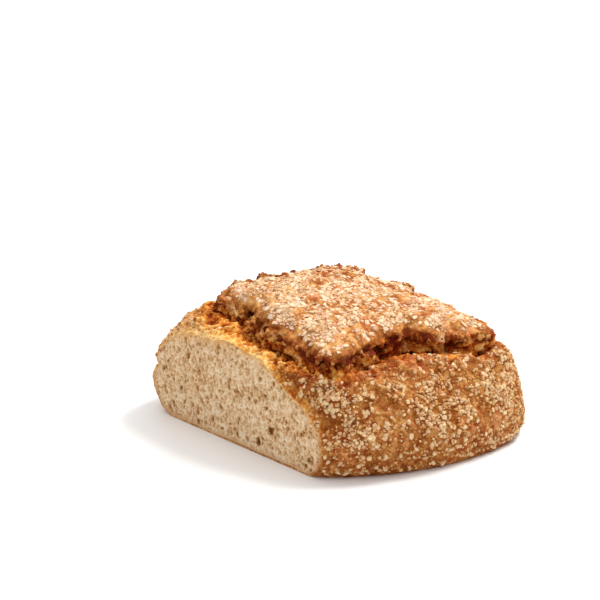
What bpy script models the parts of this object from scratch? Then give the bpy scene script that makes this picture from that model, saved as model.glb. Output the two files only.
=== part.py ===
"""A crusty country loaf with one end sliced off, as one closed solid.

The dough was cut round its top before baking, so a lid of crust has lifted. The sides bulge out from a flat
base and lean in to a rim, a torn groove runs behind the rim, and the ragged lip of the lid hangs over it.
Fine oat flakes are fused to the lid and to the sides. The sliced end is flat, with open pores.

Frame: metres, +Z up, origin at the middle of the footprint on the floor. The sliced end faces -X and the
longest side lies along Y. Sizes below are millimetres. An angle round the loaf is 0 degrees towards -Y,
90 towards +X and 270 towards -X, the sliced end.
"""

import math
import random

import bmesh
import bpy
import numpy as np
from mathutils import Vector, geometry, noise
from mathutils.bvhtree import BVHTree

MM = 0.001

# How far the bulge and the lid reach from the loaf's middle, as (angle, distance), and how square they are.
BULGE_SIDES = ((0, 107.5), (90, 92.0), (135, 118.0), (180, 96.5), (270, 96.0), (318, 97.0))
BULGE_SQUARENESS = 5.0
LID_SIDES = ((349, 68.0), (90, 64.0), (176, 54.0), (270, 50.0))
LID_SQUARENESS = 15.0
# Lobes and notches of the lid's edge: angle, half width in degrees, how far it stands out.
LID_LOBES = (
    (213, 7, 4.0), (240, 11, -6.0), (268, 12, 4.0), (305, 15, 5.0), (334, 11, -5.0), (352, 12, -13.0),
    (13, 13, -12.0), (36, 8, 3.0), (70, 9, -5.0), (118, 20, -9.0), (142, 9, 3.0),
)
LOAF_TURN = math.radians(3.0)
CUT_DISTANCE = 70.0

# Outlines from the floor up: name, share of the way from bulge to lid, outset, size, height.
STATIONS = (
    ("base", 0.0, -14.0, 1.0, 0.0),
    ("low", 0.0, -5.0, 1.0, 8.0),
    ("bulge", 0.0, 0.0, 1.0, 25.0),
    ("flank", 0.12, 0.0, 1.0, 43.0),
    ("shoulder", 0.38, 0.0, 1.0, 57.0),
    ("rim", 0.80, 0.0, 1.0, 66.5),
    ("groove", 1.0, 0.0, 1.0, 60.5),
    ("under", 1.0, -1.0, 1.0, 65.5),
    ("lip", 1.0, 1.5, 1.0, 77.0),
    ("brow", 1.0, 0.0, 0.93, 83.0),
    ("lid", 1.0, 0.0, 0.72, 86.5),
    ("middle", 1.0, 0.0, 0.40, 87.5),
    ("crown", 1.0, 0.0, 0.08, 87.8),
)
PLACE = {station[0]: place for place, station in enumerate(STATIONS)}
ROWS_BETWEEN = (4, 5, 5, 5, 5, 5, 5, 5, 5, 8, 8, 6)
COLUMNS = 216

# Directions in which the loaf differs from an even round, as (angle, how narrow).
DIRECTIONS = {
    "near corner": (303, 7), "left corner": (226, 9), "far corner": (40, 3), "sliced end": (264, 6),
    "front foot": (18, 1.5), "front groove": (16, 3), "front rise": (3, 30), "back": (140, 1.5),
    "right foot": (50, 4), "far top": (112, 6), "right lip": (40, 30),
}
# What they add to the share of the way from bulge to lid.
EXTRA_SHARE = {
    "flank": {"near corner": 0.24, "left corner": 0.06, "far corner": 0.03, "sliced end": -0.05},
    "shoulder": {"near corner": 0.28, "left corner": 0.10, "far corner": -0.02, "sliced end": -0.22},
    "rim": {"near corner": 0.08, "left corner": 0.04, "far corner": -0.17, "sliced end": -0.20},
}
# The sides tuck in less at the foot in these directions.
FOOT_FULLER = {"near corner": 0.5, "front foot": 0.75, "right foot": 0.3}
# How far edges stand out further in these directions, and how much higher they lie.
EXTRA_OUTSET = {
    "groove": {"front groove": -3.0, "sliced end": 1.0},
    "under": {"front groove": -1.5, "sliced end": 2.0, "left corner": 1.0},
    "lip": {"sliced end": -1.0, "left corner": -1.0},
}
EDGE_RISE = {
    "low": {"right foot": -3.0},
    "bulge": {"right foot": -9.0},
    "flank": {"right foot": -6.0},
    "shoulder": {"sliced end": 1.5},
    "rim": {"front rise": 4.0, "back": 4.5},
    "groove": {"front rise": 5.0, "back": 8.5, "sliced end": 1.0, "left corner": 5.0},
    "under": {"front rise": 6.0, "back": 6.0, "left corner": 4.0},
    "lip": {"front rise": 2.0, "back": -1.0, "near corner": -4.5, "left corner": -4.0, "sliced end": -2.0,
            "far top": -2.5, "right lip": -2.0},
    "brow": {"near corner": -4.5, "left corner": -5.0, "back": -2.0, "sliced end": -1.5, "far top": -3.0,
             "right lip": -2.0},
    "lid": {"near corner": -2.5, "left corner": -2.5, "back": -2.5, "far top": -2.0},
}
# The top slopes down to the front and a little to the far side.
SLOPE_TO_FRONT, SLOPE_TO_FAR = 0.105, 0.005
SLOPE_STARTS, SLOPE_FULL = 30.0, 70.0

# Relief of the crust: (size of the lumps, their height), standing out from a point in the loaf's heart.
HEART_HEIGHT = 35.0
BROAD_LUMPS = (42.0, 2.0)
DOUGH_LUMPS = (13.0, 0.9)
RIM_LUMPS = (10.0, 2.2)
LIP_LUMPS = (13.0, 4.6)
LIP_CRUMBS = (5.5, 2.6)
LID_LUMPS = (7.5, 1.3)
RELIEF_STARTS = 10.0
GROOVE_CALM = 0.85
CREVICE_HEIGHT, CREVICE_WIDTH, CREVICE_LENGTH, CREVICE_DEPTH = 33.0, 2.2, 9.0, 3.5

# Pores of the crumb in the sliced end.
PORES = 34
PORE_RADIUS = (1.1, 2.4)
PORE_DEPTH_SHARE = 0.8
PORE_SIDES = 6
PORE_BORDER = 8.0
PORE_SPACING = 9.0

# Oat flakes, the largest first.
FLAKES = 116
FLAKE_RADIUS = (2.1, 4.2)
FLAKES_SHRINK = 0.7
FLAKE_THICKNESS = 0.42
FLAKE_SIDES = 6
FLAKE_RINGS = ((0.0, 1.0), (0.55, 0.62))
FLAKE_SUNK = 0.12
FLAKE_UNEVEN = (0.88, 1.08)
FLAKE_LONGER = 1.3
FLAKE_SPACING = 7.0
FLAKE_CLEAR_OF_FLOOR = 7.0
FLAKE_TILT = math.radians(16)
OATS_ON_SIDES = 0.8
TORN_ABOVE = 0.4

CRUST_TRIANGLES = 5900
SMALLEST_EDGE = 0.05 * MM
SEED = 7

CRUST_COLOUR = (0.42, 0.21, 0.08, 1.0)
CRUST_ROUGHNESS = 0.75


def toward(angle, direction):
    """1 where the angle points in the named direction, fading to 0 away from it."""
    middle, narrow = DIRECTIONS[direction]
    return np.maximum(0.0, np.cos(angle - math.radians(middle))) ** narrow


def reach(angle, sides, squareness):
    """Distance from the middle to a polygon with rounded corners."""
    total = 0.0
    for side_angle, distance in sides:
        total = total + np.maximum(0.0, np.cos(angle - math.radians(side_angle)) / distance) ** squareness
    return total ** (-1.0 / squareness)


def lobes(angle):
    """How far the lobes of the lid's edge stand out at an angle."""
    total = 0.0
    for middle, half_width, push in LID_LOBES:
        aside = (angle - math.radians(middle) + math.pi) % (2 * math.pi) - math.pi
        total = total + push * np.exp(-(aside / math.radians(half_width)) ** 2)
    return total


def outline(station, angle):
    """The points of one station, for an array of angles."""
    name, share, outset, size, height = station
    for direction, extra in EXTRA_SHARE.get(name, {}).items():
        share = share + extra * toward(angle, direction)
    if name in ("base", "low"):
        for direction, fuller in FOOT_FULLER.items():
            outset = outset * (1 - fuller * toward(angle, direction))
    for direction, extra in EXTRA_OUTSET.get(name, {}).items():
        outset = outset + extra * toward(angle, direction)
    bulge = reach(angle, BULGE_SIDES, BULGE_SQUARENESS)
    lid = reach(angle, LID_SIDES, LID_SQUARENESS) + lobes(angle)
    radius = (bulge * (1 - share) + lid * share) * size + outset
    front, far = radius * np.cos(angle), radius * np.sin(angle)
    slope = np.clip((height - SLOPE_STARTS) / (SLOPE_FULL - SLOPE_STARTS), 0, 1)
    up = height - (SLOPE_TO_FRONT * front + SLOPE_TO_FAR * far) * slope
    for direction, rise in EDGE_RISE.get(name, {}).items():
        up = up + rise * toward(angle, direction)
    x = far * math.cos(LOAF_TURN) - front * math.sin(LOAF_TURN)
    y = -front * math.cos(LOAF_TURN) - far * math.sin(LOAF_TURN)
    return np.stack([x, y, up], axis=-1)


def between(outlines, place):
    """The outline at a place up the stations, on a smooth curve through them."""
    step = min(int(place), len(outlines) - 2)
    part = place - step
    a, b = outlines[max(step - 1, 0)], outlines[step]
    c, d = outlines[step + 1], outlines[min(step + 2, len(outlines) - 1)]
    return 0.5 * (2 * b + (c - a) * part + (2 * a - 5 * b + 4 * c - d) * part ** 2
                  + (3 * b - a - 3 * c + d) * part ** 3)


def lumps(point, shape, seed):
    """Smooth noise with lumps of the given size and height."""
    size, height = shape
    return height * noise.noise(Vector(point) / size + Vector((seed, 3.7 * seed, -2.3 * seed)))


def near_place(place, name, width):
    """1 at the named station, fading away from it."""
    return math.exp(-((place - PLACE[name]) / width) ** 2)


def relief(place, point):
    """How far the crust stands out at a point of the smooth loaf."""
    stands_out = lumps(point, BROAD_LUMPS, 1) + lumps(point, DOUGH_LUMPS, 2)
    stands_out += near_place(place, "rim", 0.8) * lumps(point, RIM_LUMPS, 3)
    ragged = near_place(place, "lip", 1.2)
    stands_out += ragged * (lumps(point, LIP_LUMPS, 4) + lumps(point, LIP_CRUMBS, 5))
    stands_out += min(max(place - PLACE["brow"], 0.0), 1.0) * lumps(point, LID_LUMPS, 6)
    if point[1] > 0:
        across = (point[2] - CREVICE_HEIGHT) / CREVICE_WIDTH
        along = (point[0] + CUT_DISTANCE) / CREVICE_LENGTH
        stands_out -= CREVICE_DEPTH * math.exp(-across ** 2 - along ** 2)
    stands_out *= 1 - GROOVE_CALM * near_place(place, "groove", 0.8)
    return stands_out * min(max(point[2] / RELIEF_STARTS, 0.0), 1.0)


def loaf_grid():
    """Rows of points up the loaf, with their relief."""
    angle = np.linspace(0, 2 * math.pi, COLUMNS, endpoint=False)
    outlines = [outline(station, angle) for station in STATIONS]
    places = [place + row / rows for place, rows in enumerate(ROWS_BETWEEN) for row in range(rows)]
    places.append(float(len(ROWS_BETWEEN)))
    grid = np.array([between(outlines, place) for place in places])
    outward = grid - np.array([0.0, 0.0, HEART_HEIGHT])
    outward /= np.linalg.norm(outward, axis=-1, keepdims=True)
    height = np.array([[relief(place, point) for point in row] for place, row in zip(places, grid)])
    return grid + outward * height[..., None]


def bare_loaf():
    """The whole loaf before slicing: the grid closed with a middle point below and above."""
    grid = loaf_grid()
    mesh = bmesh.new()
    rows = [[mesh.verts.new(point * MM) for point in row] for row in grid]
    for lower, upper in zip(rows, rows[1:]):
        for k in range(COLUMNS):
            following = (k + 1) % COLUMNS
            mesh.faces.new((lower[k], lower[following], upper[following], upper[k]))
    for ring, upward in ((rows[0], False), (rows[-1], True)):
        middle = mesh.verts.new(sum((vert.co for vert in ring), Vector()) / COLUMNS)
        for k in range(COLUMNS):
            pair = (ring[k], ring[(k + 1) % COLUMNS])
            mesh.faces.new((middle, *pair) if upward else (middle, *reversed(pair)))
    return mesh


def new_object(name, mesh):
    """A scene object holding a copy of a bmesh, which is freed."""
    data = bpy.data.meshes.new(name)
    mesh.to_mesh(data)
    mesh.free()
    thing = bpy.data.objects.new(name, data)
    bpy.context.scene.collection.objects.link(thing)
    return thing


def apply_modifiers(thing):
    """Replace an object's mesh by its evaluated one and drop its modifiers."""
    graph = bpy.context.evaluated_depsgraph_get()
    data = bpy.data.meshes.new_from_object(thing.evaluated_get(graph))
    thing.modifiers.clear()
    thing.data = data


def thin_out(thing, triangles):
    """Collapse edges where the surface is smooth until few enough triangles are left."""
    thing.data.calc_loop_triangles()
    decimate = thing.modifiers.new("thin_out", "DECIMATE")
    decimate.ratio = triangles / len(thing.data.loop_triangles)
    apply_modifiers(thing)


def border_reach(border, middle):
    """Angles and distances of the border's points about the middle of the sliced end, in angle order."""
    pairs = sorted((math.atan2(point.z - middle.z, point.y - middle.y), (point - middle).length)
                   for point in (vert.co for vert in border))
    return [pair[0] for pair in pairs], [pair[1] for pair in pairs]


def pore_places(border, draw):
    """Middles and radii of pores, inside the crust and apart from each other."""
    middle = sum((vert.co for vert in border), Vector()) / len(border)
    angles, distances = border_reach(border, middle)
    pores = []
    while len(pores) < PORES:
        angle = draw.uniform(-math.pi, math.pi)
        limit = np.interp(angle, angles, distances, period=2 * math.pi) - PORE_BORDER * MM
        away = limit * math.sqrt(draw.random())
        place = middle + Vector((0, math.cos(angle), math.sin(angle))) * away
        radius = draw.uniform(*PORE_RADIUS) * MM
        if all((place - other).length > PORE_SPACING * MM for other, _ in pores):
            pores.append((place, radius))
    return pores


def slice_end(mesh, draw):
    """Cut the end off and close the sliced face, with its pores pressed in."""
    plane = Vector((-CUT_DISTANCE * MM, 0, 0))
    bmesh.ops.bisect_plane(mesh, geom=mesh.verts[:] + mesh.edges[:] + mesh.faces[:], dist=SMALLEST_EDGE,
                           plane_co=plane, plane_no=(-1, 0, 0), clear_outer=True)
    border_edges = [edge for edge in mesh.edges if edge.is_boundary]
    border = list({vert for edge in border_edges for vert in edge.verts})
    border.sort(key=lambda vert: (vert.co.y, vert.co.z))
    index = {vert: k for k, vert in enumerate(border)}
    flat = [(vert.co.y, vert.co.z) for vert in border]
    sunk = [0.0] * len(flat)
    for place, radius in pore_places(border, draw):
        turn = draw.uniform(0, math.tau)
        for k in range(PORE_SIDES):
            angle = turn + math.tau * k / PORE_SIDES
            flat.append((place.y + radius * math.cos(angle), place.z + radius * math.sin(angle)))
            sunk.append(0.0)
        flat.append((place.y, place.z))
        sunk.append(radius * 2 * PORE_DEPTH_SHARE)
    edges = [(index[edge.verts[0]], index[edge.verts[1]]) for edge in border_edges]
    points, _, faces, sources, _, _ = geometry.delaunay_2d_cdt(
        [Vector(pair) for pair in flat], edges, [], 1, SMALLEST_EDGE * 0.1)
    verts = []
    for point, source in zip(points, sources):
        first = min(source)
        known = first < len(border)
        verts.append(border[first] if known else mesh.verts.new((plane.x + sunk[first], point.x, point.y)))
    for face in faces:
        mesh.faces.new([verts[k] for k in face])
    bmesh.ops.recalc_face_normals(mesh, faces=mesh.faces[:])


def oat_share(place, angle):
    """How thickly the flakes lie at a place up the loaf: 0 for none, 1 for most."""
    if place > PLACE["brow"]:
        return 1.0
    if PLACE["shoulder"] + 0.3 < place or place < PLACE["low"]:
        return 0.0
    torn = toward(angle, "sliced end") > TORN_ABOVE and place > PLACE["flank"]
    return 0.0 if torn else OATS_ON_SIDES


def oat_places(surface, draw):
    """Spread flakes over the crust, the largest first: (point, normal, radius)."""
    angle_steps = np.linspace(0, 2 * math.pi, COLUMNS, endpoint=False)
    outlines = [outline(station, angle_steps) for station in STATIONS]
    places = []
    for k in range(FLAKES):
        share = k / (FLAKES - 1)
        radius = FLAKE_RADIUS[1] + (FLAKE_RADIUS[0] - FLAKE_RADIUS[1]) * share ** FLAKES_SHRINK
        while True:
            place = draw.uniform(PLACE["low"], PLACE["crown"])
            column = draw.randrange(COLUMNS)
            across = math.hypot(*between(outlines, place)[column][:2]) / BULGE_SIDES[0][1]
            if draw.random() > oat_share(place, angle_steps[column]) * across:
                continue
            start = Vector(between(outlines, place)[column]) * MM
            point, normal, _, _ = surface.find_nearest(start)
            if point.z < FLAKE_CLEAR_OF_FLOOR * MM or point.x < (2 * radius - CUT_DISTANCE) * MM:
                continue
            if all((point - other).length > FLAKE_SPACING * MM for other, _, _ in places):
                break
        places.append((point, normal, radius * MM))
    return places


def flake(name, point, normal, radius, draw):
    """One oat flake: a low uneven disc lying on the crust, its lower point sunk into it."""
    thickness = 2 * radius * FLAKE_THICKNESS
    tilt = Vector((draw.uniform(-1, 1), draw.uniform(-1, 1), draw.uniform(-1, 1))) * math.tan(FLAKE_TILT) / 2
    turn = (normal + tilt).normalized().to_track_quat("Z", "Y").to_matrix()
    long_side = draw.uniform(1.0, FLAKE_LONGER)
    start = draw.uniform(0, math.tau)
    mesh = bmesh.new()
    rings = []
    for height, size in FLAKE_RINGS:
        ring = []
        for k in range(FLAKE_SIDES):
            angle = start + math.tau * k / FLAKE_SIDES
            reach_out = radius * size * draw.uniform(*FLAKE_UNEVEN)
            local = Vector((math.cos(angle) * reach_out * long_side, math.sin(angle) * reach_out,
                            (height - FLAKE_SUNK) * thickness))
            ring.append(mesh.verts.new(point + turn @ local))
        rings.append(ring)
    bottom = mesh.verts.new(point - turn @ Vector((0, 0, thickness)))
    for k in range(FLAKE_SIDES):
        following = (k + 1) % FLAKE_SIDES
        lower, upper = (rings[0][k], rings[0][following]), (rings[1][k], rings[1][following])
        mesh.faces.new((lower[0], lower[1], upper[1], upper[0]))
        mesh.faces.new((lower[1], lower[0], bottom))
    mesh.faces.new(rings[1])
    bmesh.ops.recalc_face_normals(mesh, faces=mesh.faces[:])
    return new_object(name, mesh)


def fuse_flakes(loaf, places, draw):
    """Join every flake to the loaf in one union."""
    flakes = bpy.data.collections.new("flakes")
    bpy.context.scene.collection.children.link(flakes)
    for k, (point, normal, radius) in enumerate(places):
        piece = flake(f"flake_{k}", point, normal, radius, draw)
        bpy.context.scene.collection.objects.unlink(piece)
        flakes.objects.link(piece)
    union = loaf.modifiers.new("fuse", "BOOLEAN")
    union.operation = "UNION"
    union.operand_type = "COLLECTION"
    union.collection = flakes
    union.solver = "EXACT"
    apply_modifiers(loaf)
    for piece in list(flakes.objects):
        bpy.data.objects.remove(piece, do_unlink=True)
    bpy.data.collections.remove(flakes)


def islands(mesh):
    """The mesh's separate bodies, as sets of faces."""
    left = set(mesh.faces)
    found = []
    while left:
        body, front = set(), [left.pop()]
        while front:
            face = front.pop()
            body.add(face)
            for edge in face.edges:
                for other in edge.link_faces:
                    if other in left:
                        left.discard(other)
                        front.append(other)
        found.append(body)
    return found


def keep_largest(mesh):
    """Drop loose scraps and the walls of sealed hollows, so one body is left."""
    bodies = sorted(islands(mesh), key=len)
    scraps = [face for body in bodies[:-1] for face in body]
    bmesh.ops.delete(mesh, geom=scraps, context="FACES")


def stand_on_origin(mesh):
    """Move the loaf so that the middle of its footprint is the origin."""
    points = np.array([vert.co for vert in mesh.verts])
    low, high = points.min(axis=0), points.max(axis=0)
    shift = Vector((-(low[0] + high[0]) / 2, -(low[1] + high[1]) / 2, -low[2]))
    bmesh.ops.translate(mesh, vec=shift, verts=mesh.verts[:])


def crust_material():
    """Browned crust: matt, a warm brown."""
    material = bpy.data.materials.new("crust")
    material.use_nodes = True
    shader = material.node_tree.nodes["Principled BSDF"]
    shader.inputs["Base Color"].default_value = CRUST_COLOUR
    shader.inputs["Roughness"].default_value = CRUST_ROUGHNESS
    shader.inputs["Metallic"].default_value = 0.0
    return material


def main():
    for thing in list(bpy.data.objects):
        bpy.data.objects.remove(thing, do_unlink=True)
    draw = random.Random(SEED)
    loaf = new_object("loaf", bare_loaf())
    thin_out(loaf, CRUST_TRIANGLES)

    mesh = bmesh.new()
    mesh.from_mesh(loaf.data)
    slice_end(mesh, draw)
    surface = BVHTree.FromBMesh(mesh)
    mesh.to_mesh(loaf.data)
    mesh.free()

    fuse_flakes(loaf, oat_places(surface, draw), draw)

    mesh = bmesh.new()
    mesh.from_mesh(loaf.data)
    bmesh.ops.remove_doubles(mesh, verts=mesh.verts[:], dist=SMALLEST_EDGE)
    bmesh.ops.triangulate(mesh, faces=mesh.faces[:])
    keep_largest(mesh)
    stand_on_origin(mesh)
    mesh.to_mesh(loaf.data)
    mesh.free()
    loaf.data.materials.clear()
    loaf.data.materials.append(crust_material())


main()
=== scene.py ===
"""The looks of a crusty country loaf with one end sliced off: crust, torn edges, crumb and oat flakes.

Sizes are millimetres and become metres when a mesh is made. An angle round the loaf is 0 degrees towards
-Y, the front, 90 towards +X and 270 towards -X, the sliced end.
"""
import itertools
import math
from collections import namedtuple
from contextlib import contextmanager

import bmesh
import bpy
import numpy as np
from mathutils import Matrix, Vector, geometry, kdtree, noise


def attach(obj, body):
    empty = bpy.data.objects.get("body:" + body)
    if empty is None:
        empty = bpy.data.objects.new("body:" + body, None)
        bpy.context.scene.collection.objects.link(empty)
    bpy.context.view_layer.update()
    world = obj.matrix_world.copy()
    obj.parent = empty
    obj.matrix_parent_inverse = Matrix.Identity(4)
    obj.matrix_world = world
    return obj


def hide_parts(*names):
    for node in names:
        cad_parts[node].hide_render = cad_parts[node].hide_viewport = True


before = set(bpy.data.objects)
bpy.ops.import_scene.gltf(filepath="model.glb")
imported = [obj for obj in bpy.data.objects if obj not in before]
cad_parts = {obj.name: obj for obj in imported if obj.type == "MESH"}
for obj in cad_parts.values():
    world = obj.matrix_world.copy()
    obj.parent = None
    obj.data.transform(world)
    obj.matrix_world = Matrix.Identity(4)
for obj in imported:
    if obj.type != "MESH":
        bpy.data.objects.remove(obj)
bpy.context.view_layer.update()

MM = 0.001

# ------------ the loaf's form, as in the solid

# Sides of a round-cornered outline: the angle that each faces and how far it is from the middle.
BULGE_SIDES = ((0, 107.5), (90, 92.0), (135, 118.0), (180, 96.5), (270, 96.0), (318, 97.0))
BULGE_SQUARENESS = 5.0
LID_SIDES = ((349, 68.0), (90, 64.0), (176, 54.0), (270, 50.0))
LID_SQUARENESS = 15.0
# Lobes and notches of the lid's edge: angle, half width in degrees, how far it stands out.
LID_LOBES = (
    (213, 7, 4.0), (240, 11, -6.0), (268, 12, 4.0), (305, 15, 5.0), (334, 11, -5.0), (352, 12, -13.0),
    (13, 13, -12.0), (36, 8, 3.0), (70, 9, -5.0), (118, 20, -9.0), (142, 9, 3.0),
)
LOAF_TURN = math.radians(3.0)
CUT_DISTANCE = 70.0
# How far the loaf's middle lies from the middle of its footprint.
FOOTPRINT_SHIFT = np.array([-11.24, 5.39, 0.0])

# Outlines from the floor up: name, share of the way from bulge to lid, outset, size, height.
STATIONS = (
    ("base", 0.0, -14.0, 1.0, 0.0),
    ("low", 0.0, -5.0, 1.0, 8.0),
    ("bulge", 0.0, 0.0, 1.0, 25.0),
    ("flank", 0.12, 0.0, 1.0, 43.0),
    ("shoulder", 0.38, 0.0, 1.0, 57.0),
    ("rim", 0.80, 0.0, 1.0, 66.5),
    ("groove", 1.0, 0.0, 1.0, 60.5),
    ("under", 1.0, -1.0, 1.0, 65.5),
    ("lip", 1.0, 1.5, 1.0, 77.0),
    ("brow", 1.0, 0.0, 0.93, 83.0),
    ("lid", 1.0, 0.0, 0.72, 86.5),
    ("middle", 1.0, 0.0, 0.40, 87.5),
    ("crown", 1.0, 0.0, 0.08, 87.8),
)
PLACE = {station[0]: place for place, station in enumerate(STATIONS)}
ROWS_BETWEEN = (5, 8, 8, 8, 8, 9, 9, 9, 9, 14, 16, 14)
ROW_PLACES = [step + row / rows for step, rows in enumerate(ROWS_BETWEEN) for row in range(rows)]
ROW_PLACES.append(float(len(ROWS_BETWEEN)))
COLUMNS = 420
COLUMN_ANGLES = np.linspace(0, 2 * math.pi, COLUMNS, endpoint=False)

# Directions round the loaf: angle in degrees and how narrow.
DIRECTIONS = {
    "near corner": (303, 7), "left corner": (226, 9), "far corner": (40, 3), "sliced end": (264, 6),
    "front foot": (18, 1.5), "front groove": (16, 3), "front rise": (3, 30), "back": (140, 1.5),
    "right foot": (50, 4), "far top": (112, 6), "right lip": (40, 30),
}
# What some stations have more of towards a direction: of the share here, then of outset and of height.
EXTRA_SHARE = {
    "flank": {"near corner": 0.24, "left corner": 0.06, "far corner": 0.03, "sliced end": -0.05},
    "shoulder": {"near corner": 0.28, "left corner": 0.10, "far corner": -0.02, "sliced end": -0.22},
    "rim": {"near corner": 0.08, "left corner": 0.04, "far corner": -0.17, "sliced end": -0.20},
}
# How much less the foot is drawn in towards a direction.
FOOT_FULLER = {"near corner": 0.5, "front foot": 0.75, "right foot": 0.3}
EXTRA_OUTSET = {
    "groove": {"front groove": -3.0, "sliced end": 1.0},
    "under": {"front groove": -1.5, "sliced end": 2.0, "left corner": 1.0},
    "lip": {"sliced end": -1.0, "left corner": -1.0},
}
EDGE_RISE = {
    "low": {"right foot": -3.0},
    "bulge": {"right foot": -9.0},
    "flank": {"right foot": -6.0},
    "shoulder": {"sliced end": 1.5},
    "rim": {"front rise": 4.0, "back": 4.5},
    "groove": {"front rise": 5.0, "back": 8.5, "sliced end": 1.0, "left corner": 5.0},
    "under": {"front rise": 6.0, "back": 6.0, "left corner": 4.0},
    "lip": {"front rise": 2.0, "back": -1.0, "near corner": -4.5, "left corner": -4.0, "sliced end": -2.0,
            "far top": -2.5, "right lip": -2.0},
    "brow": {"near corner": -4.5, "left corner": -5.0, "back": -2.0, "sliced end": -1.5, "far top": -3.0,
             "right lip": -2.0},
    "lid": {"near corner": -2.5, "left corner": -2.5, "back": -2.5, "far top": -2.0},
}
SLOPE_TO_FRONT, SLOPE_TO_FAR = 0.105, 0.005
SLOPE_STARTS, SLOPE_FULL = 30.0, 70.0

HEART_HEIGHT = 35.0
# Lumps: how large they are and how far they stand out.
BROAD_LUMPS = (42.0, 2.0)
DOUGH_LUMPS = (13.0, 0.9)
RIM_LUMPS = (10.0, 2.2)
LIP_LUMPS = (13.0, 4.6)
LIP_CRUMBS = (5.5, 2.6)
LID_LUMPS = (7.5, 1.3)
RELIEF_STARTS = 10.0
GROOVE_CALM = 0.85
CREVICE_HEIGHT, CREVICE_WIDTH, CREVICE_LENGTH, CREVICE_DEPTH = 33.0, 2.2, 9.0, 3.5

# ------------ detail that only the looks have

VOXEL = 0.80
CRUST_TRIANGLES = 190000
RING_WIDTH, RING_UNEVEN, RING_THINNER_ABOVE, RING_LEAST = 1.4, 0.7, 0.7, 0.6
POCKET_DEPTH, POCKET_FLOOR_LEFT = 6.0, 1.5
BORDER_STEP = 0.6
CRUMB_STEP, CRUMB_JITTER, CRUMB_CLEAR, CRUMB_WARP = 0.43, 0.12, 0.35, 0.75
MAP_STEP = 0.15
# Bubbles the knife went through: how many, smallest and largest radius.
BUBBLES = ((7500, 0.35, 0.7), (2500, 0.7, 1.1), (300, 1.1, 1.7), (16, 1.7, 2.3))
BUBBLE_TALLEST = 1.7
# Where the knife passed a bubble's middle, in radii from it.
BUBBLE_SUNK = (-0.75, 0.3)
# Dark caves under the lid's lip: angle, place up the loaf, half width and half height in millimetres and
# depth. A depth below 0 is a knob that stands out.
CAVES = (
    (239, 7.65, 5.5, 4.5, 7.0), (250, 7.7, 4.5, 4.5, -5.0), (330, 7.4, 5.0, 3.5, 3.0),
    (350, 7.5, 8.0, 4.5, 5.0), (10, 7.6, 11.0, 5.0, 6.0), (27, 7.6, 7.0, 5.0, 5.5),
    (200, 7.6, 6.0, 4.0, 4.0), (95, 7.5, 8.0, 4.0, 4.0), (160, 7.5, 6.0, 3.5, 4.0),
)
PIT_DEPTH = 3.6
# How far each form stands out, in millimetres, on each kind of crust.
CRAG_HEIGHTS = {
    "cliff": {"folds": 2.2, "crag": 2.8, "knobs": 0.7, "crumbs": 0.8, "ledges": 1.8, "fissures": -1.8},
    "torn": {"strings": 1.6, "crag": 3.2, "crumbs": 2.3, "even": -1.0},
    "gap": {"even": -1.6},
    "sliced gap": {"even": 2.4},
    "lid": {"folds": 1.5, "knobs": 0.6, "crag": 0.6, "fissures": -0.5},
    "under the front": {"even": 1.8},
    "lid edge": {"crag": 3.2, "knobs": 2.2, "crumbs": 1.8},
    "outside": {"crag": 0.9, "crumbs": 0.8, "knobs": 0.5, "fissures": -0.4},
    "rim": {"folds": 1.6, "crag": 2.6, "knobs": 0.5},
}
# How dark the crust bakes, with painted shade and painted light added: how much each cause adds in each
# zone. The zone "all" is the whole crust.
TOAST_AND_SHADE = {
    "even": {"all": 0.50, "rim": 0.08, "lid": -0.07, "cliff": 0.02, "gap": 0.02, "torn": -0.06},
    "near the floor": {"all": 0.08},
    "up the cliff": {"cliff": 0.28},
    "at the edge": {"lid": 0.32},
    "far edge": {"lid": 0.20},
    "far crags": {"all": 0.42},
    "back left": {"all": 0.20},
    "behind the cut": {"torn": 0.36},
    "sliced side": {"gap": -0.22},
    "left side": {"side": -0.26, "rim": -0.34, "torn": -0.14, "lid": -0.18, "cliff": -0.27, "edge": -0.19},
    "near corner": {"side": 0.10},
    "nose": {"edge": 0.24, "cliff": 0.06},
    # front: painted light, the cliff and the gap paler towards the front.
    "front": {"edge": 0.03, "cliff": -0.12, "gap": -0.14},
    # bits, cave, deep and hollow: painted shade on the crust among the clustered bits, in caves and pits,
    # and in broad and fine hollows.
    "bits": {"all": 0.18},
    "cave": {"all": 0.30},
    "deep": {"all": 0.10, "cliff": 0.16, "torn": 0.22, "rim": 0.10},
    "hollow": {"all": 0.16, "cliff": 0.12, "torn": 0.26, "rim": 0.15},
    "broad patches": {"all": 0.16},
    "fine patches": {"all": 0.14, "side": 0.12, "lid": 0.12},
    "edge patches": {"cliff": 0.42, "edge": 0.42},
}
# Rounds of smoothing against which fine and broad hollows are measured.
FINE_ROUNDS, BROAD_ROUNDS = 5, 45
# How much redder the crust bakes in each zone.
RED_ZONES = {"rim": 0.3, "cliff": 0.3, "side": -0.25, "lid": -0.2}

# Bits that lie on the crust: how many at most and how far apart, their least radius, how much more it is at
# most and how rarely, the thickness in millimetres or in radii, the number of sides, and how drawn out,
# tilted and ragged they are.
Bits = namedtuple("Bits", "most spacing radius growth rarity thinnest thickest in_radii sides longer tilt"
                          " ragged")
BITS = {
    "oat_flakes": Bits(1900, 1.6, 0.8, 1.6, 2, 0.5, 1.1, False, 7, 1.35, 0.16, 0.40),
    "oat_bits": Bits(3600, 1.15, 0.8, 1.3, 1.6, 1.1, 2.5, False, 6, 1.3, 0.35, 0.42),
    "bran_bits": Bits(4800, 1.1, 0.5, 1.0, 2, 0.8, 1.8, False, 6, 1.6, 0.45, 0.40),
    "crust_crumbs": Bits(520, 1.6, 0.6, 1.6, 2, 1.0, 1.5, True, 7, 1.3, 0.60, 0.50),
}
# Where the lid's edge stays bare of flakes: how far in, and towards which angle, how narrowly.
BARE_EDGES = ((0.6, 285, 2), (0.7, 205, 2), (0.2, 15, 4))
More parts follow.
